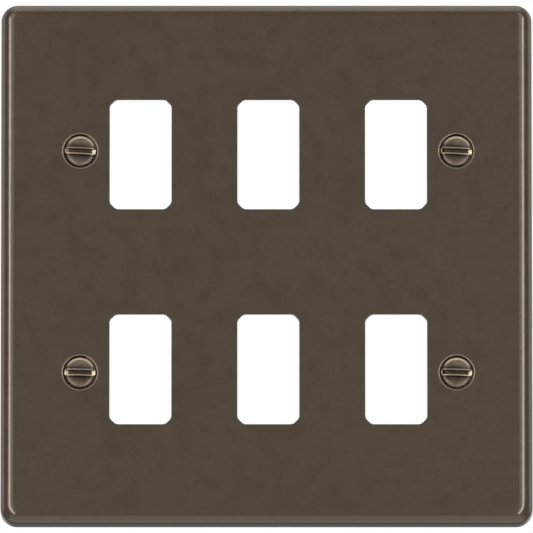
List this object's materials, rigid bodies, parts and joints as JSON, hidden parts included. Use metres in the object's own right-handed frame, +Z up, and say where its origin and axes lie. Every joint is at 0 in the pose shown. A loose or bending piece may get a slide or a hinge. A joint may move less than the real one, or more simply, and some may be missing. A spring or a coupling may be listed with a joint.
{
  "type": "grid switch plate",
  "caption": "Square pressed-metal grid switch plate with a rolled edge, tall cropped-corner apertures, a hollow back and slotted raised-head fixing screws, in dark antique bronze.",
  "frame": {"origin": "middle of the plate's outline, in the plane of the wall behind it (the back edge of the rolled rim)", "axes": "+X to the right seen from the front, +Y into the wall, +Z up; the face looks towards -Y"},
  "size_m": [0.146, 0.0168, 0.146],
  "materials": {
    "plate_bronze": "dark antique bronze on pressed steel, satin, faintly mottled",
    "screw_bronze": "antique bronze on brass, rubbed through to bare brass at the edges"
  },
  "bodies": {
    "root": {"face_plate": "plate_bronze", "fixing_screw_top_left": "screw_bronze", "fixing_screw_top_right": "screw_bronze", "fixing_screw_bottom_left": "screw_bronze", "fixing_screw_bottom_right": "screw_bronze"}
  },
  "joints": []
}
